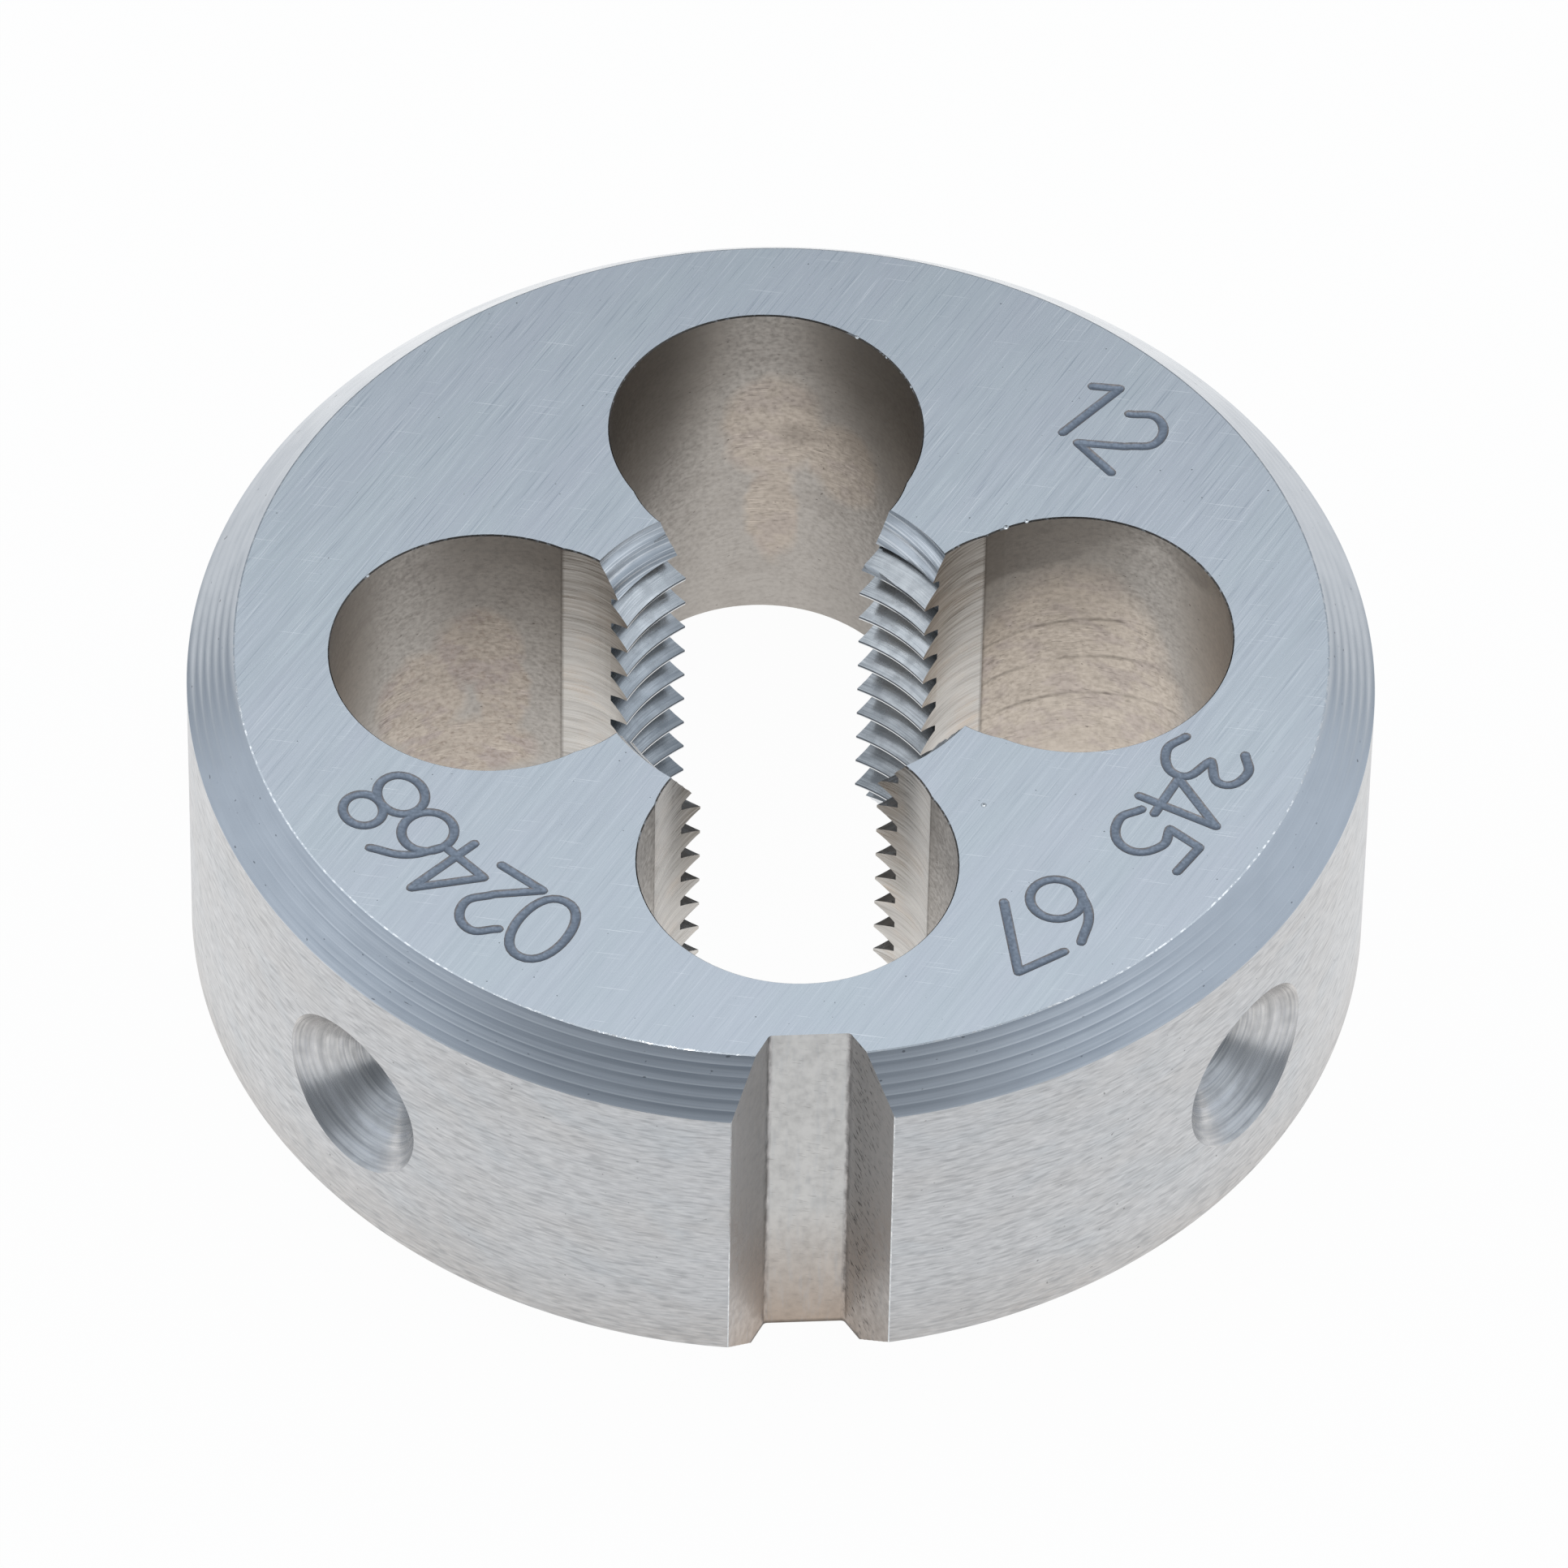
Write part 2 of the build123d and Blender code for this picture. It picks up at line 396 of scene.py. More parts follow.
chipHoles = {
    "diameter": 8.0,
    "distance": 7.4,
    "rakeRadius": 2.84,
    "rakeInset": 1.21,
    "rakeOffset": 0.73,
    "steps": 96,
}
wallLook = {
    "grey": "#bcb7b1",
    "beige": "#c9bdb0",
    "paleBeige": "#dfd4c7",  # in the right hole
    "speckle": "#9a887c",
    "bruise": "#a79aa0",  # faint violet heat tint
    "dark": "#857c75",
    # colours of the painted shade in the holes
    "paintedHoleShade": "#7b7671",
    "paintedDarkShade": "#5b5753",
    "pits": "#5a524c",
    "seam": "#6a645e",
    "roughness": (0.34, 0.52),
    "raggedness": 0.38,  # how far a stain's outline wanders
    "rearStains": [((0.45, 11.3, 6.9), (1.5, 1.6, 2.0)), ((0.45, 11.3, 3.7), (0.75, 1.5, 2.2)),
                   ((2.2, 10.6, 6.0), (1.2, 1.6, 1.6))],
    "leftStains": [((-7.5, 3.9, 6.8), (1.3, 1.5, 1.6)), ((-9.0, 3.5, 5.3), (1.4, 1.5, 1.9)),
                   ((-7.9, 3.9, 3.1), (2.0, 1.5, 1.3)), ((-6.9, 3.9, 5.2), (0.7, 1.5, 2.4))],
    "rightStains": [((7.6, 3.4, 4.0), (3.2, 2.6, 5.7))],
    "smear": ((1.05, 11.2, 6.68), (0.74, 1.0, 0.48)),
    "shadeRise": 0.25,  # the painted shade at the top of the right hole rises this much for each mm sideways
    "retractMarks": (4.35, 1.38, 0.17),  # first height, spacing, and rise for each mm sideways
    "seamFade": (0.07, 0.02),  # mm from the seam where its shade starts and where it is full
}


def seamShade(tree, x, y):  # thin shade where the drilled wall meets a hook-ground face
    c = chipHoles
    half = c["diameter"] / 2
    apart = (c["rakeInset"] ** 2 + c["rakeOffset"] ** 2) ** 0.5
    onLine = (apart ** 2 + half ** 2 - c["rakeRadius"] ** 2) / (2 * apart)
    rise = (half ** 2 - onLine ** 2) ** 0.5
    seam = Vector((-c["rakeInset"], c["rakeOffset"])) / apart * onLine
    seam += Vector((c["rakeOffset"], c["rakeInset"])) / apart * rise
    across, along = [addNode(tree, "Math", value, operation="ABSOLUTE")[0] for value in (x, y)]
    more, less = [addNode(tree, "Math", across, along, operation=which)[0] for which in ("MAXIMUM", "MINIMUM")]
    folded = addNode(tree, "CombineXYZ", more, less, 0.0)[0]  # all eight seams on one
    seamPlace = (c["distance"] + seam.x, seam.y, 0)
    away = addNode(tree, "VectorMath", folded, seamPlace, operation="DISTANCE")["Value"]
    return addNode(tree, "MapRange", away, *wallLook["seamFade"])[0]


# Drilled and heat-treated wall: smooth brown-grey with ragged beige stains, painted shade near the mouth and
# small pits.
# The real scratches are too fine to show, so they are drawn 0.03 to 0.05 mm wide.
def makeDrilledWall():
    look = wallLook
    material, tree = newMaterial("drilledHeatTintedSteelWall")
    place, x, y, z = millimetres(tree)
    sideways = addNode(tree, "Math", x, operation="ABSOLUTE")[0]
    ragged = uneven(tree, place, 1.1, look["raggedness"])
    beige = stains(tree, ragged, look["rearStains"] + look["leftStains"], 0.25)
    rightBeige = stains(tree, ragged, look["rightStains"], 0.2)
    allBeige = addNode(tree, "Math", beige, rightBeige, operation="MAXIMUM")[0]
    smudge = grain(tree, place, (1.6, 1.6, 0.8), (0.48, 0.72), (0, 0, 40), 3.0)
    clouds = grain(tree, place, (0.9, 0.9, 0.6), (0.50, 0.62), (0, 20, 0))
    cloudy = fades(tree, "MULTIPLY", (sideways, 3.0, 4.5, 0.5, 1.0), (x, 5.0, 6.5, 1.0, 0.7))
    mottle = grain(tree, place, (0.14, 0.14, 0.11), (0.50, 0.68), (0, 30, 0), 4.0)
    mostlyLeft = addNode(tree, "MapRange", x, -5.5, -4.5, 1.0, 0.15)[0]
    for mask in (allBeige, mostlyLeft):
        mottle = addNode(tree, "Math", mottle, mask, operation="MULTIPLY")[0]
    speckle = grain(tree, place, (0.14, 0.14, 0.10), (0.35, 0.68), detail=3.0)
    scratches = grain(tree, place, (0.8, 0.8, 0.03), (0.66, 0.72), (8, -16, 0), 1.0)
    fineRings = grain(tree, place, (1.8, 1.8, 0.05), (0.35, 0.65))
    pits = grain(tree, place, (0.15, 0.15, 0.08), (0.74, 0.79), detail=1.0)
    scuffed = grain(tree, place, (1.3, 1.3, 0.7), (0.46, 0.60), (0, 0, 15), 1.0)  # patches with the marks below
    dashes = grain(tree, place, (0.36, 0.36, 0.045), (0.62, 0.70), detail=1.0)
    brightScratches = grain(tree, place, (0.7, 0.7, 0.04), (0.60, 0.68), detail=1.0)
    smear = stain(tree, uneven(tree, place, 0.5, 0.12), *look["smear"], 0.6)
    lowRear = fades(tree, "MINIMUM", (z, 6.5, 4.0), (sideways, 4.4, 3.8))

    # Painted shade near the mouths and on the left hole's wall, with an outline that wanders up and down
    wander = grain(tree, place, (2.4, 2.4, 1.2), (0.3, 0.7))
    height = addNode(tree, "Math", z, wander, operation="ADD")[0]
    slanted = addNode(tree, "Math", x, -look["shadeRise"], height, operation="MULTIPLY_ADD")[0]
    paintedMouthShade = fades(tree, "MULTIPLY", (height, 7.6, 10.4), (sideways, 4.5, 10.5, 1.0, 0.45),
                     (sideways, 0.8, 2.6, 0.62, 1.0), (x, 4.8, 4.5, 0.46, 0.76))
    paintedRightMouthShade = fades(tree, "MULTIPLY", (slanted, 7.9, 8.4), (x, 4.5, 5.0, 0.0, 0.88),
                       (x, 5.5, 7.5, 1.0, 0.74))
    paintedHoleShade = addNode(tree, "Math", paintedMouthShade, paintedRightMouthShade, operation="MAXIMUM")[0]
    paintedLeftWallShade = fades(tree, "MULTIPLY", (height, 4.0, 7.8), (x, -4.4, -5.4))
    paintedDarkShade = fades(tree, "MULTIPLY", (sideways, 1.2, 3.6), (y, 6.5, 8.5), (z, 10.8, 9.4, 0.5, 1.0))
    paintedDarkShadeLeft = fades(tree, "MULTIPLY", (x, -1.2, -2.4), (height, 5.0, 7.0), (y, 6.5, 8.5))

    # Arcs in the right hole, left by the drill as it was drawn out
    start, spacing, rise = look["retractMarks"]
    tilted = addNode(tree, "Math", x, -rise, z, operation="MULTIPLY_ADD")[0]
    above = addNode(tree, "Math", tilted, start - rise * chipHoles["distance"], operation="SUBTRACT")[0]
    turns = addNode(tree, "Math", above, spacing, operation="DIVIDE")[0]
    fromArc = addNode(tree, "Math", turns, 0.5, operation="PINGPONG")[0]
    arcs = fades(tree, "MULTIPLY", (fromArc, 0.07, 0.01), (tilted, 2.4, 2.8), (tilted, 6.6, 6.2))
    for mask in (rightBeige, grain(tree, place, (1.2, 1.2, 0.3), (0.35, 0.55))):
        arcs = addNode(tree, "Math", arcs, mask, operation="MULTIPLY")[0]

    colour = layered(tree, look, "grey", [
        (allBeige, "beige", 0.8), (rightBeige, "paleBeige", 0.55), (smudge, "dark", 0.18),
        ((clouds, allBeige, cloudy), "bruise", 0.34), (mottle, "speckle", 0.42), (smear, "dark", 0.45),
        (lowRear, "dark", 0.14), (scratches, "dark", 0.30),
        ((brightScratches, scuffed, allBeige), "paleBeige", 0.55), (paintedHoleShade, "paintedHoleShade", 0.82),
        (paintedLeftWallShade, "paintedHoleShade", 0.22), (paintedDarkShade, "paintedDarkShade", 0.42), (paintedDarkShadeLeft, "paintedDarkShade", 0.28),
        (speckle, "dark", 0.04), (fineRings, "dark", 0.03), ((dashes, scuffed, allBeige), "pits", 0.40),
        (arcs, "pits", 0.42), (pits, "pits", 0.5), (seamShade(tree, x, y), "seam", 0.45)])
    finishSteel(tree, colour, speckle, look["roughness"],
                [(speckle, 0.2), (mottle, -0.3), (arcs, -1.5), (pits, -2.0)])
    return material


hookLook = {
    "colour": "#c8c4be",
    "dark": "#7b7671",
    "bright": "#f6f4f1",
    "stain": "#cfbca9",
    "seam": "#6a645e",
    "slant": (10, -11, 0),
    "roughness": (0.26, 0.40),
}


# Hook-ground cutting face: beige steel with slanted wheel marks, drawn coarser than real ones so that they
# show, and painted shade towards the top
def makeHookFace():
    look = hookLook
    material, tree = newMaterial("hookGroundSteelFace")
    place, x, y, height = millimetres(tree)
    marks = grain(tree, place, (1.3, 1.3, 0.06), (0.36, 0.64), look["slant"], 3.0)
    broadMarks = grain(tree, place, (2.2, 2.2, 0.22), (0.36, 0.64), look["slant"], 3.0)
    patches = grain(tree, place, (1.5, 1.5, 1.2), (0.50, 0.66), detail=3.0)
    # Painted shade: darker towards the top, as on the hole walls
    paintedHoleShade = addNode(tree, "MapRange", height, 6.0, 10.5)[0]
    colour = layered(tree, look, "colour", [
        (patches, "stain", 0.5), (paintedHoleShade, "dark", 0.66), (broadMarks, "dark", 0.45), (marks, "bright", 0.5),
        (seamShade(tree, x, y), "seam", 0.45)])
    finishSteel(tree, colour, marks, look["roughness"], [(marks, 0.9), (broadMarks, 1.8)])
    return material


drilledWall = makeDrilledWall()
hookFace = makeHookFace()


# Straight hole through both faces, with an edge break at each mouth
def makeHole(name, holeRadius, x, y, steps, material):
    b = dieShape["holeBreak"]
    wide = holeRadius + b + overrun
    profile = [(wide, -overrun), (holeRadius, b), (holeRadius, thickness - b), (wide, thickness + overrun)]
    bm = latheMesh(profile, steps, Matrix.Translation((x, y, 0)))
    for f in bm.faces:
        f.material_index = 0 if abs(f.normal.z) < 0.1 else 1
    newPiece(name, bm, [material, holeEdge], cutters)


for land in range(dieShape["lands"]):
    turn = Matrix.Rotation(radians(land * landStep), 4, "Z")
    c = chipHoles
    centre = turn @ Vector((c["distance"], 0, 0))
    makeHole("chipHoleCutter", c["diameter"] / 2, centre.x, centre.y, c["steps"], drilledWall)
    for side in (-1, 1):
        centre = turn @ Vector((c["distance"] - c["rakeInset"], side * c["rakeOffset"], 0))
        makeHole("rakeCutter", c["rakeRadius"], centre.x, centre.y, c["steps"], hookFace)
print("chip holes ready")


threadForm = {
    "crestRadius": 4.38,
    "pitch": 0.907,
    "angle": 55.0,
    "crestShare": 0.10,
    "rootShare": 0.22,
    "phase": 0.165,  # height of a groove's middle above the bottom face, at +X
    "overlap": 0.6,  # how far the cutter reaches in past the crests; at 1 its turns would touch
    "stepsPerTurn": 96,
    "boreSteps": 144,
}
threadLook = {
    "colour": "#b7bec5",
    "warmth": "#bcb6af",  # towards the right
    # root, dark and bright also serve as the painted shade and painted light below
    "root": "#50575e",
    "dark": "#737b83",
    "bright": "#f0f3f5",
    "rootShadeFade": (0.38, 0.60),  # mm out from the crests
    "roughness": (0.20, 0.32),
}
# colours of the painted shade on the crest flats and of the painted highlight on their lower edge
crestLook = {"dark": "#4f555d", "bright": "#f8fafb", "roughness": 0.22}


def helixTurns(tree, x, y, z):  # counts turns of the left-hand thread; a fraction of 0.5 is a crest's middle
    pitch = threadForm["pitch"]
    around = addNode(tree, "Math", y, x, operation="ARCTAN2")[0]
    start = addNode(tree, "Math", around, 1 / tau, -threadForm["phase"] / pitch, operation="MULTIPLY_ADD")[0]
    return around, addNode(tree, "Math", z, 1 / pitch, start, operation="MULTIPLY_ADD")[0]


# Tapped thread: drawn lines along the helix, with painted shade at the roots and low in the bore, and painted
# light higher up.
# The real lines are too fine to show, so the thinnest are drawn 0.045 mm wide.
def makeCutThread():
    look, s = threadLook, threadForm
    material, tree = newMaterial("tappedToolSteelThread")
    place, x, y, z = millimetres(tree)
    level = addNode(tree, "CombineXYZ", x, y, 0.0)[0]
    reach = addNode(tree, "VectorMath", level, operation="LENGTH")["Value"]
    around, turns = helixTurns(tree, x, y, z)
    arc = addNode(tree, "Math", around, s["crestRadius"], operation="MULTIPLY")[0]
    climb = addNode(tree, "Math", turns, s["pitch"], operation="MULTIPLY")[0]
    flank = addNode(tree, "CombineXYZ", reach, arc, climb)[0]
    drawn = grain(tree, flank, (0.045, 2.2, 0.5), (0.32, 0.68))
    broadDrawn = grain(tree, flank, (0.13, 1.6, 0.6), (0.34, 0.66))
    smudge = grain(tree, place, (0.45, 0.45, 0.35), (0.42, 0.7), detail=3.0)
    paintedRootShade = addNode(tree, "MapRange", reach, *[s["crestRadius"] + out for out in look["rootShadeFade"]])[0]
    onRight = addNode(tree, "MapRange", x, 1, 3)[0]
    # Painted shade: darker low in the bore
    deep = fades(tree, "MULTIPLY", (z, 6.0, 1.0), (x, -1, 1, 1.25, 1.0))
    # Painted light: brighter high in the bore, more on the left
    paintedUpperLight = fades(tree, "MULTIPLY", (z, 6.5, 9.2), (x, -2, 2, 1.0, 0.3))
    # Painted light: brighter part way up, on the right
    middle = fades(tree, "MINIMUM", (z, 5.2, 7.0), (z, 9.2, 8.2), (x, 0, 2))
    colour = layered(tree, look, "colour", [
        (onRight, "warmth", 0.4), (deep, "dark", 0.5), (paintedUpperLight, "bright", 0.62), (middle, "bright", 0.34),
        (broadDrawn, "dark", 0.34), (paintedRootShade, "root", 0.55), (smudge, "root", 0.12), (drawn, "bright", 0.24)])
    finishSteel(tree, colour, smudge, look["roughness"], [(drawn, 0.8), (broadDrawn, 1.6)], 0.2, (0, 0, 1))
    return material


# Thread crests: flats darkened as painted shade, with a painted highlight along their lower edge
def makeThreadCrest():
    look = crestLook
    material, tree = newMaterial("threadCrestShadeAndHighlight")
    turns = helixTurns(tree, *millimetres(tree)[1:])[1]
    within = addNode(tree, "Math", turns, operation="FRACT")[0]
    # Painted highlight along the lower edge of each crest
    lower = addNode(tree, "MapRange", within, 0.495, 0.475)[0]
    colour = layered(tree, look, "dark", [(lower, "bright", 0.9)])
    finishSteel(tree, colour, None, look["roughness"], [])
    return material


cutThread = makeCutThread()
threadCrest = makeThreadCrest()


def makeThreadCutter():
    s = threadForm
    slope = tan(radians(s["angle"] / 2))
    depth = s["pitch"] * (1 - s["crestShare"] - s["rootShare"]) / (2 * slope)
    inside = s["overlap"] * s["pitch"] * s["crestShare"] / (2 * slope)
    rootHalf = s["pitch"] * s["rootShare"] / 2
    startHalf = rootHalf + (depth + inside) * slope
    low = s["phase"] - 2 * s["pitch"]  # two turns to spare at each end
    turns = int(thickness / s["pitch"]) + 4
    bm = bmesh.new()
    corners = [(s["crestRadius"] - inside, -startHalf), (s["crestRadius"] + depth, -rootHalf),
               (s["crestRadius"] + depth, rootHalf), (s["crestRadius"] - inside, startHalf)]
    verts = [bm.verts.new((r, 0, low + z)) for r, z in corners]
    section = bm.faces.new(verts)
    bmesh.ops.spin(bm, geom=verts + section.edges[:] + [section], cent=(0, 0, 0), axis=(0, 0, -1),
                   dvec=(0, 0, s["pitch"] / s["stepsPerTurn"]), angle=turns * tau,
                   steps=turns * s["stepsPerTurn"])
    bmesh.ops.holes_fill(bm, edges=[e for e in bm.edges if e.is_boundary], sides=0)
    bmesh.ops.recalc_face_normals(bm, faces=bm.faces)
    newPiece("threadCutter", bm, [cutThread], cutters)


makeHole("boreCutter", threadForm["crestRadius"], 0, 0, threadForm["boreSteps"], threadCrest)
makeThreadCutter()
print("thread ready")


leadCone = {
    "mouthRadius": 5.30,
    "angle": 66.0,
    "relief": 0.5,  # how far each land's cone stands off the axis, towards the heel
    "ridges": 5,
    "ridgeDepth": 0.013,
    "ridgedHeight": 1.7,  # the ridges reach this far below the face
    "tipRadius": 0.05,
    "steps": 192,
}
leadLook = {"colour": "#dfe3e7", "dark": "#98a1aa", "bright": "#fbfcfd", "roughness": (0.20, 0.30)}


# Turned lead cones: arcs round the mouth, some of them with a painted highlight.
# Real arcs are finer. The thinnest are drawn 0.035 mm wide, so that they show.
def makeTurnedLead():
    look = leadLook
    material, tree = newMaterial("turnedToolSteelLead")
    place = millimetres(tree)[0]
    rings = grain(tree, place, (6, 6, 0.24), (0.40, 0.58), detail=1.0)
    fineRings = grain(tree, place, (4, 4, 0.035), (0.3, 0.7))
    # Painted highlight on some of the arcs
    paintedHighlightRings = grain(tree, place, (4, 4, 0.05), (0.54, 0.60), (2, 2, 0), 1.0)
    smudge = grain(tree, place, (0.5, 0.5, 0.12), (0.42, 0.7), detail=3.0)
    colour = layered(tree, look, "colour", [
        (rings, "dark", 0.62), (fineRings, "dark", 0.12), (smudge, "dark", 0.10), (paintedHighlightRings, "bright", 0.8)])
    finishSteel(tree, colour, smudge, look["roughness"], [(rings, 2.0)], 0.2, (0, 0, 1))
    return material


turnedLead = makeTurnedLead()


def makeLeadCutter(land, turnedOver):
    s = leadCone
    slope = tan(radians(s["angle"] / 2))
    topRadius = s["mouthRadius"] + overrun * slope
    heel, quarter = radians(landStep / 2 + 90), radians(landStep)
    deep = s["ridgedHeight"]
    ridged = ridgedLine((s["mouthRadius"] - deep * slope, thickness - deep), (s["mouthRadius"], thickness),
                        s["ridges"], -s["ridgeDepth"])
    tip = (s["tipRadius"], thickness + overrun - (topRadius - s["tipRadius"]) / slope)
    offAxis = Matrix.Translation((s["relief"] * cos(heel), s["relief"] * sin(heel), 0))
    bm = latheMesh([tip] + ridged + [(topRadius, thickness + overrun)], s["steps"], offAxis)
    for normal in (Vector((0, -1, 0)), Vector((-sin(quarter), cos(quarter), 0))):  # keeps one land's share
        everything = bm.verts[:] + bm.edges[:] + bm.faces[:]
        bmesh.ops.bisect_plane(bm, geom=everything, plane_co=(0, 0, 0), plane_no=normal, clear_outer=True)
        bmesh.ops.holes_fill(bm, edges=[e for e in bm.edges if e.is_boundary], sides=0)
    if turnedOver:
        bmesh.ops.rotate(bm, verts=bm.verts, cent=(0, 0, thickness / 2), matrix=Matrix.Rotation(pi, 3, "X"))
    bmesh.ops.rotate(bm, verts=bm.verts, matrix=Matrix.Rotation(radians(land * landStep), 3, "Z"))
    bmesh.ops.recalc_face_normals(bm, faces=bm.faces)
    newPiece("leadCutter", bm, [turnedLead], cutters)


for land in range(dieShape["lands"]):
    for turnedOver in (False, True):
        makeLeadCutter(land, turnedOver)
print("lead cones ready")


slotShape = {
    "depth": 1.9,
    "floorWidth": 2.0,
    "angle": 60.0,
    "cornerRadius": 0.12,
    "edgeBreak": 0.035,
    "rimFall": 0.15,  # how far the round rim has fallen back at the slot's edges
}
slotLook = {
    "floor": "#d2d1cf",
    "side": "#d2d0cf",
    "dark": "#85827f",
    "smear": "#b4b8bd",
    "stain": "#ad9a89",
    "dashes": "#403d3c",
    "roughness": (0.36, 0.52),
}


# Milled and heat-treated slot: plain grey with a warm stain near the foot, slanted tool dashes on a side,
# painted shade on the right side and thin painted shade in the corners
def makeMilledSlot(name, base, dashShare):
    look = slotLook
    material, tree = newMaterial(name)
    place, x, _, z = millimetres(tree)
    mottle = grain(tree, place, (0.20, 0.20, 0.26), (0.35, 0.68), detail=3.0)
    clouds = grain(tree, place, (0.9, 0.9, 1.8), (0.42, 0.70), detail=3.0)
    smears = grain(tree, place, (0.16, 0.16, 1.3), (0.52, 0.68))
    scuffs = grain(tree, place, (0.30, 0.30, 0.05), (0.66, 0.74), (0, 14, 0), 1.0)
    dashes = grain(tree, place, (0.35, 0.22, 0.055), (0.60, 0.67), (38, 0, 0), 1.0)
    # The tool dashes are only on the right side, which is also darker as painted shade
    onRight = addNode(tree, "MapRange", x, 0.9, 1.2)[0]
    for mask in (onRight, addNode(tree, "MapRange", x, 1.8, 1.3, 0.25, 1.0)[0]):
        dashes = addNode(tree, "Math", dashes, mask, operation="MULTIPLY")[0]
    foot = addNode(tree, "MapRange", z, 4.5, 0.0)[0]
    lowEdge = addNode(tree, "MapRange", z, 0.14, 0.04)[0]
    sideways = addNode(tree, "Math", x, operation="ABSOLUTE")[0]
    pastCorner = addNode(tree, "Math", sideways, slotShape["floorWidth"] / 2, operation="SUBTRACT")[0]
    fromCorner = addNode(tree, "Math", pastCorner, operation="ABSOLUTE")[0]
    # Thin painted shade along the corners between the slot's floor and sides
    corners = addNode(tree, "MapRange", fromCorner, 0.10, 0.02)[0]
    broken = grain(tree, place, (0.12, 0.12, 0.5), (0.35, 0.6))
    colour = layered(tree, look, base, [
        (foot, "stain", 0.86), (clouds, "dark", 0.07), (mottle, "dark", 0.07), (smears, "smear", 0.20),
        (scuffs, "dark", 0.28), (onRight, "dark", 0.42), ((corners, broken), "dashes", 0.5),
        (dashes, "dashes", dashShare), (lowEdge, "dashes", 0.6)])
    finishSteel(tree, colour, mottle, look["roughness"], [(mottle, 1.5), (dashes, -4 * dashShare)])
    return material


slotFloor = makeMilledSlot("milledHeatTreatedSteelFloor", "floor", 0.2)
slotSide = makeMilledSlot("milledHeatTreatedSteelSide", "side", 0.9)


def makeSlotCutter():
    s = slotShape
    slope = tan(radians(s["angle"] / 2))
    half = s["floorWidth"] / 2
    edgeY = -(radius ** 2 - (half + (s["depth"] - s["rimFall"]) * slope) ** 2) ** 0.5 + s["edgeBreak"]
    edgeX = half + (-edgeY - radius + s["depth"]) * slope
    bm = bmesh.new()
    right = [(half, s["depth"] - radius), (edgeX, edgeY), (edgeX + overrun, edgeY - overrun)]
    corners = [(-x, y) for x, y in reversed(right)] + right
    section = bm.faces.new([bm.verts.new((x, y, -overrun)) for x, y in corners])
    top = bmesh.ops.extrude_face_region(bm, geom=[section], use_keep_orig=True)["geom"]
    bmesh.ops.translate(bm, verts=[v for v in top if isinstance(v, bmesh.types.BMVert)],
                        vec=(0, 0, thickness + 2 * overrun))
    inner = [e for e in bm.edges if all(abs(v.co.y - s["depth"] + radius) < 1e-4 for v in e.verts)
             and abs(e.verts[0].co.z - e.verts[1].co.z) > overrun]
    bmesh.ops.bevel(bm, geom=inner, offset=s["cornerRadius"] * tan(radians(45 - s["angle"] / 4)),
                    offset_type="OFFSET", segments=5, profile=0.5, affect="EDGES", material=-1)
    bmesh.ops.recalc_face_normals(bm, faces=bm.faces)
    for f in bm.faces:  # floor, sides, edge breaks
        out = abs(f.calc_center_median().x)
        f.material_index = 0 if out < half * 0.5 else 1 if out < edgeX - 0.01 else 2
    newPiece("slotCutter", bm, [slotFloor, slotSide, brightEdge], cutters)


makeSlotCutter()
print("slot ready")


dimpleShape = {
    "diameter": 4.8,
    "angle": 90.0,
    "spread": 49.0,
    "rings": 13,
    "ringDepth": 0.005,
    "tipRadius": 0.02,
    "steps": 96,
}
dimpleLook = {
    "colour": "#cccdd0",
    "dark": "#63666a",
    "bright": "#f4f2ee",
    "warmth": "#c9bfb5",
    "roughness": (0.24, 0.36),
}


# Drilled dimples: bright rings left by the drill point round its own axis, drawn 0.045 mm wide to show, with
# painted shade towards the middle
def makeDrilledDimple():
    look = dimpleLook
    material, tree = newMaterial("drillPointedSteelDimple")
    _, x, y, z = millimetres(tree)
    sideways = addNode(tree, "Math", x, operation="ABSOLUTE")[0]
    folded = addNode(tree, "CombineXYZ", sideways, y, z)[0]  # both dimples at once
    aim = {"Vector": folded, "Location": (0, 0, thickness / 2),
           "Rotation": (0, 0, radians(dimpleShape["spread"] - 90))}
    turned = addNode(tree, "Mapping", aim, vector_type="TEXTURE")[0]
    _, across, up = addNode(tree, "SeparateXYZ", turned)
    level = addNode(tree, "CombineXYZ", 0.0, across, up)[0]
    reach = addNode(tree, "VectorMath", level, operation="LENGTH")["Value"]
    around = addNode(tree, "CombineXYZ", reach, across, up)[0]
    rings = grain(tree, around, (0.045, 3, 3), (0.32, 0.68))
    wideRings = grain(tree, around, (0.14, 2.4, 2.4), (0.34, 0.66))
    smudge = grain(tree, around, (0.3, 0.8, 0.8), (0.45, 0.7), detail=3.0)
    # Painted shade: darker towards the deep middle of the dimple
    deep = addNode(tree, "MapRange", reach, dimpleShape["diameter"] * 0.36, dimpleShape["diameter"] * 0.16)[0]
    warm = addNode(tree, "MapRange", z, thickness / 2, thickness / 2 + 1.2)[0]
    colour = layered(tree, look, "colour", [
        (deep, "dark", 0.56), (warm, "warmth", 0.5), (wideRings, "dark", 0.45), (rings, "bright", 0.42),
        (smudge, "dark", 0.2)])
    finishSteel(tree, colour, smudge, look["roughness"], [(rings, 0.8), (wideRings, 2.4)])
    return material


drilledDimple = makeDrilledDimple()


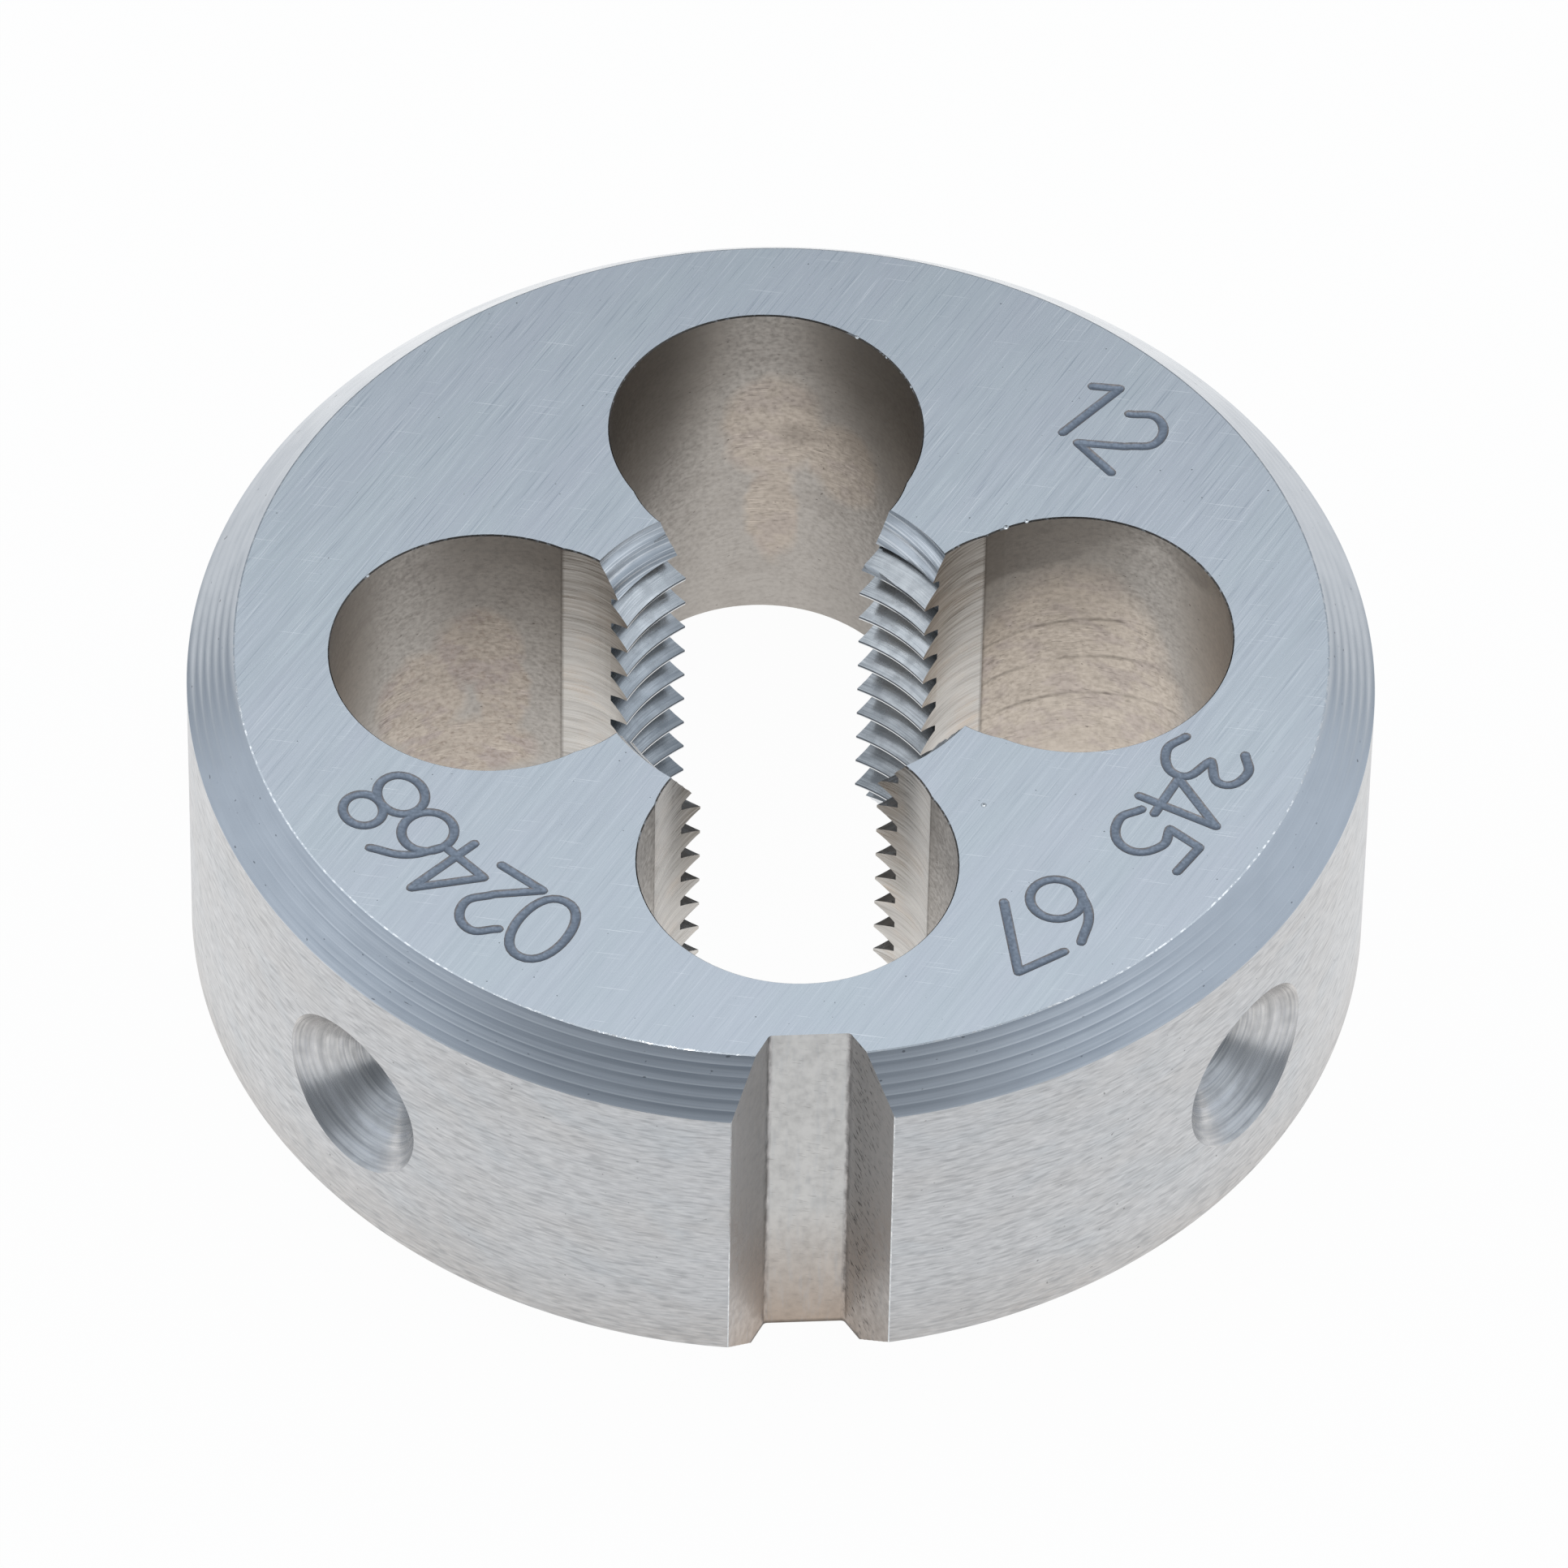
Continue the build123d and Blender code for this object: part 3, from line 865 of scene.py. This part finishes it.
def makeDimpleCutter(azimuth):
    s = dimpleShape
    slope = tan(radians(s["angle"] / 2))
    depth = s["diameter"] / 2 / slope
    end = depth + overrun
    profile = ridgedLine((s["tipRadius"], s["tipRadius"] / slope), (s["diameter"] / 2, depth), s["rings"],
                         -s["ringDepth"])
    profile.append((end * slope, end))
    place = (Matrix.Rotation(radians(azimuth), 4, "Z") @ Matrix.Translation((radius - depth, 0, thickness / 2))
             @ Matrix.Rotation(pi / 2, 4, "Y"))
    bm = latheMesh(profile, s["steps"], place)
    newPiece("dimpleCutter", bm, [drilledDimple], cutters)


for side in (-1, 1):
    makeDimpleCutter(-90 + side * dimpleShape["spread"])
print("dimples ready")


faceMarks = {  # plain figures on the top face: each string starts at this angle and runs clockwise
    "strings": [("12", 43.5), ("345", -23.5), ("67", -54.5), ("02468", -124.5)],
    "height": 2.15,
    "radius": 11.35,  # to the middle of the figures
    "step": 7.4,  # degrees from one figure to the next
    "toolRadius": 0.30,  # the ball-ended tool that draws the strokes
    "depth": 0.032,
}
figureStrokes = {  # the strokes of each figure, in a box 0.62 wide and 1 high
    "0": [("loop", [(0.31, 1), (0.62, 0.5), (0.31, 0), (0, 0.5)])],
    "1": [("straight", [(0.12, 0.80), (0.38, 1), (0.38, 0)])],
    "2": [("smooth", [(0.02, 0.78), (0.30, 1), (0.58, 0.74), (0.40, 0.40)]),
          ("straight", [(0.40, 0.40), (0, 0), (0.62, 0)])],
    "3": [("smooth", [(0.03, 0.88), (0.30, 1), (0.56, 0.78), (0.26, 0.54)]),
          ("smooth", [(0.26, 0.54), (0.61, 0.28), (0.30, 0), (0, 0.14)])],
    "4": [("straight", [(0.46, 0), (0.46, 1), (0, 0.28), (0.62, 0.28)])],
    "5": [("straight", [(0.56, 1), (0.10, 1), (0.06, 0.56)]),
          ("smooth", [(0.06, 0.56), (0.34, 0.63), (0.61, 0.32), (0.30, 0), (0, 0.12)])],
    "6": [("smooth", [(0.50, 1), (0.16, 0.72), (0.01, 0.31)]),
          ("loop", [(0.31, 0.62), (0.61, 0.31), (0.31, 0), (0.01, 0.31)])],
    "7": [("straight", [(0, 1), (0.62, 1), (0.20, 0)])],
    "8": [("loop", [(0.31, 1), (0.56, 0.77), (0.31, 0.54), (0.06, 0.77)]),
          ("loop", [(0.31, 0.54), (0.62, 0.27), (0.31, 0), (0, 0.27)])],
}
boxMiddle = (0.31, 0.5)
markLook = {
    "colour": "#8a94a2",
    "border": "#978a80",
    "speckle": "#5c636d",
    "borderBand": (-0.012, 0.002),  # height from the face in mm where the border starts and is full
    "wander": 0.012,  # mm by which it wanders
    "roughness": (0.36, 0.50),
}


# Etched figures, darkened by heat: blue-grey strokes with brownish borders
def makeEtchedMark():
    look = markLook
    material, tree = newMaterial("heatDarkenedSteelMark")
    place, _, _, z = millimetres(tree)
    waves = grain(tree, place, (0.3, 0.3, 0.3), (0.3, 0.7))
    wavy = addNode(tree, "Math", waves, look["wander"], z, operation="MULTIPLY_ADD")[0]
    border = addNode(tree, "MapRange", wavy, *[thickness + up for up in look["borderBand"]])[0]
    speckle = grain(tree, place, (0.08, 0.08, 0.08), (0.35, 0.7))
    colour = layered(tree, look, "colour", [(border, "border", 0.75), (speckle, "speckle", 0.35)])
    finishSteel(tree, colour, speckle, look["roughness"], [(speckle, 1.0)])
    return material


etchedMark = makeEtchedMark()


def makeTube(points, smooth, closed, place):  # a round bar along a stroke
    curve = bpy.data.curves.new("stroke", "CURVE")
    curve.dimensions = "3D"
    curve.bevel_depth = faceMarks["toolRadius"]
    curve.bevel_resolution = 12
    curve.resolution_u = 8
    curve.use_fill_caps = True
    spline = curve.splines.new("BEZIER")
    spline.bezier_points.add(len(points) - 1)
    for knot, point in zip(spline.bezier_points, points):
        knot.co = point
        knot.handle_left_type = knot.handle_right_type = "AUTO" if smooth else "VECTOR"
    spline.use_cyclic_u = closed
    drawn = bpy.data.objects.new("stroke", curve)
    bm = bmesh.new()
    bm.from_mesh(bpy.data.meshes.new_from_object(drawn))
    bpy.data.objects.remove(drawn)
    bmesh.ops.remove_doubles(bm, verts=bm.verts, dist=1e-5)
    bmesh.ops.recalc_face_normals(bm, faces=bm.faces)
    bmesh.ops.transform(bm, matrix=place, verts=bm.verts)
    newPiece("strokeCutter", bm, [etchedMark], cutters)


def makeMarkCutters():
    s = faceMarks
    tool = s["toolRadius"]
    for string, start in s["strings"]:
        for count, figure in enumerate(string):
            place = (Matrix.Rotation(radians(start - count * s["step"]), 4, "Z")
                     @ Matrix.Translation((s["radius"], 0, thickness - s["depth"] + tool))
                     @ Matrix.Rotation(radians(-90), 4, "Z"))
            for kind, corners in figureStrokes[figure]:
                points = [((x - boxMiddle[0]) * s["height"], (y - boxMiddle[1]) * s["height"], 0)
                          for x, y in corners]
                if kind == "straight":
                    for pair in zip(points, points[1:]):
                        makeTube(pair, False, False, place)
                else:
                    makeTube(points, True, kind == "loop", place)
                ends = [] if kind == "loop" else points if kind == "straight" else [points[0], points[-1]]
                for point in ends:
                    bm = bmesh.new()
                    bmesh.ops.create_icosphere(bm, subdivisions=3, radius=tool,
                                               matrix=place @ Matrix.Translation(point))
                    newPiece("strokeEndCutter", bm, [etchedMark], cutters)


makeMarkCutters()
print("figures ready")


nicks = {
    "rise": 0.3,  # a nick is cut by a ball whose centre stands above the face by this share of its radius
    "spots": [  # worn spots on the top face's edges: x, y, radius
        (-10.29, 2.71, 0.09), (-9.34, 3.43, 0.08), (2.48, 10.52, 0.08), (3.16, 9.77, 0.09), (3.73, 8.72, 0.09),
        (5.91, 3.72, 0.09), (6.44, 3.92, 0.07), (-3.18, -5.18, 0.11), (4.75, -5.70, 0.08), (3.31, -5.26, 0.08),
    ],
}


def makeNickCutters():
    for x, y, size in nicks["spots"]:
        bm = bmesh.new()
        bmesh.ops.create_icosphere(bm, subdivisions=2, radius=size,
                                   matrix=Matrix.Translation((x, y, thickness + size * nicks["rise"])))
        newPiece("nickCutter", bm, [brightEdge], cutters)


makeNickCutters()


def cutDie():
    cut = die.modifiers.new("cut", "BOOLEAN")
    cut.operation = "DIFFERENCE"
    cut.solver = "MANIFOLD"
    cut.operand_type = "COLLECTION"
    cut.collection = cutters
    cut.material_mode = "TRANSFER"
    graph = bpy.context.evaluated_depsgraph_get()
    mesh = bpy.data.meshes.new_from_object(die.evaluated_get(graph))
    die.modifiers.clear()
    die.data = mesh
    for cutter in list(cutters.objects):
        bpy.data.objects.remove(cutter)
    bpy.data.collections.remove(cutters)
    bm = bmesh.new()
    bm.from_mesh(mesh)
    bmesh.ops.scale(bm, vec=(mm, mm, mm), verts=bm.verts)
    print("die cut:", len(bm.faces), "faces, open edges", sum(not e.is_manifold for e in bm.edges),
          "volume", round(bm.calc_volume() / mm ** 3, 1))
    bm.to_mesh(mesh)
    bm.free()
    mesh.shade_smooth()
    mesh.set_sharp_from_angle(angle=radians(dieShape["sharpAngle"]))


cutDie()
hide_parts("threading_die")
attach(die, "root")


stageLook = {
    "floorSize": 3.0,  # metres
    "floorColour": "#fbfbfb",
    "whiteShare": 0.97,  # how much of the floor is plain white to the camera and to reflections
    # In reflections the white fades towards the front: from and to these metres, and to this share
    "frontFade": (0.012, 0.045, 0.36),
    "farFade": (0.10, 0.30, 0.56),  # and all round further out
}


# Paper floor: plain white to the camera, and a soft grey in the steel
def makeFloor():
    bm = bmesh.new()
    bmesh.ops.create_grid(bm, x_segments=1, y_segments=1, size=stageLook["floorSize"] / 2)
    floor = newPiece("floor", bm, [])
    material, tree = newMaterial("paperFloor")
    paper = addNode(tree, "BsdfDiffuse", {"Color": linear(stageLook["floorColour"])})[0]
    white = addNode(tree, "Emission", {"Color": (1, 1, 1, 1), "Strength": 1.0})[0]
    ray = addNode(tree, "LightPath")
    own = addNode(tree, "TexCoord")["Object"]
    ahead = addNode(tree, "Math", addNode(tree, "SeparateXYZ", own)["Y"], -1.0, operation="MULTIPLY")[0]
    away = addNode(tree, "VectorMath", own, operation="LENGTH")["Value"]
    mirrored = addNode(tree, "Math", ray["Is Glossy Ray"], ray["Is Transmission Ray"], operation="MAXIMUM")[0]
    for distance, (start, end, left) in ((ahead, stageLook["frontFade"]), (away, stageLook["farFade"])):
        fade = addNode(tree, "MapRange", distance, start, end, 1.0, left)[0]
        mirrored = addNode(tree, "Math", mirrored, fade, operation="MULTIPLY")[0]
    seen = addNode(tree, "Math", ray["Is Camera Ray"], mirrored, operation="MAXIMUM")[0]
    share = addNode(tree, "Math", seen, stageLook["whiteShare"], operation="MULTIPLY")[0]
    both = addNode(tree, "MixShader", share, paper, white)[0]
    addNode(tree, "OutputMaterial", {"Surface": both})
    floor.data.materials.append(material)


rearPanel = {  # metres and degrees; it looks at the die
    "azimuth": 92,
    "elevation": 68,
    "distance": 0.20,
    "width": 0.30,
    "height": 0.15,
    "brightness": 0.53,
    "colour": "#f4f8fb",
}
glintLamp = {  # a small lamp above, for the worn edges
    "place": (-0.033, 0.012, 0.30),
    "size": 0.022,
    "brightness": 7.0,
    "colour": "#ffffff",
}
tent = {  # the light tent round the die: dim towards the front and the back, bright at the sides
    "colour": "#dfe7f0",
    "ends": 0.53,
    "sides": 0.96,
    "spread": (0.40, 1.0),  # sideways part of a direction where the tent starts and stops to brighten
    "lean": 0.25,  # moves the dim part towards the left at the front
    # Forward and low part of a direction where the open front starts and ends, and its share of the light
    "doorway": (0.20, 0.55, 0.68),
    "doorTop": 0.55,  # how fast the open front ends upwards
    "rearGap": (0.3, 0.6, 0.78),  # the same three for the low part at the rear
}


def makeLamp(name, place, width, height, brightness, colour):  # an area lamp that looks at the die
    data = bpy.data.lights.new(name, "AREA")
    data.shape = "RECTANGLE"
    data.size, data.size_y = width, height
    data.energy = brightness * 4 * width * height
    data.color = linear(colour)[:3]
    lamp = bpy.data.objects.new(name, data)
    lamp.location = place
    lamp.rotation_euler = (-lamp.location).to_track_quat("-Z", "Y").to_euler()
    lamp.visible_camera = False
    bpy.context.scene.collection.objects.link(lamp)


def makeLight():
    p, g = rearPanel, glintLamp
    a, e = radians(p["azimuth"]), radians(p["elevation"])
    panelPlace = Vector((cos(a) * cos(e), sin(a) * cos(e), sin(e))) * p["distance"]
    makeLamp("rearPanel", panelPlace, p["width"], p["height"], p["brightness"], p["colour"])
    makeLamp("glintLamp", g["place"], g["size"], g["size"], g["brightness"], g["colour"])
    world = bpy.data.worlds.new("lightTent")
    bpy.context.scene.world = world
    world.use_nodes = True
    tree = world.node_tree
    tree.nodes.clear()
    x, y, z = addNode(tree, "SeparateXYZ", addNode(tree, "TexCoord")["Object"])
    ahead = addNode(tree, "Math", y, -1.0, operation="MULTIPLY")[0]
    forward = addNode(tree, "Math", ahead, 0.0, operation="MAXIMUM")[0]
    leaning = addNode(tree, "Math", forward, tent["lean"], x, operation="MULTIPLY_ADD")[0]
    apart = addNode(tree, "Math", leaning, operation="ABSOLUTE")[0]
    strength = addNode(tree, "MapRange", apart, *tent["spread"], tent["ends"], tent["sides"],
                       interpolation_type="SMOOTHSTEP")[0]
    lowFront = addNode(tree, "Math", z, -tent["doorTop"], forward, operation="MULTIPLY_ADD")[0]
    lowRear = addNode(tree, "Math", y, z, operation="SUBTRACT")[0]
    for low, (start, end, share) in ((lowFront, tent["doorway"]), (lowRear, tent["rearGap"])):
        opening = addNode(tree, "MapRange", low, start, end, 1.0, share)[0]
        strength = addNode(tree, "Math", strength, opening, operation="MULTIPLY")[0]
    sky = addNode(tree, "Background", {"Color": linear(tent["colour"]), "Strength": strength})[0]
    addNode(tree, "OutputWorld", {"Surface": sky})


cameraPlace = {  # millimetres and degrees, fitted to the photograph
    "aim": (0.318, 2.795, 2.56),
    "azimuth": -3.87,
    "elevation": 48.007,
    "roll": 1.093,
    "distance": 401.725,
    "lens": 358.7,
    "sensor": 36.0,
    "clip": (0.01, 10),  # metres
}


def makeCamera():
    c = cameraPlace
    data = bpy.data.cameras.new("photoCamera")
    data.lens = c["lens"]
    data.sensor_width = c["sensor"]
    data.clip_start, data.clip_end = c["clip"]
    camera = bpy.data.objects.new("photoCamera", data)
    a, e = radians(c["azimuth"]), radians(c["elevation"])
    towards = Vector((sin(-a) * cos(e), cos(a) * cos(e), -sin(e)))
    camera.location = (Vector(c["aim"]) - towards * c["distance"]) * mm
    camera.rotation_mode = "QUATERNION"
    camera.rotation_quaternion = (towards.to_track_quat("-Z", "Y").to_matrix()
                                  @ Matrix.Rotation(radians(c["roll"]), 3, "Z")).to_quaternion()
    bpy.context.scene.collection.objects.link(camera)
    bpy.context.scene.camera = camera


makeFloor()
makeLight()
makeCamera()
bpy.context.scene.view_settings.view_transform = "Standard"
print("stage set")
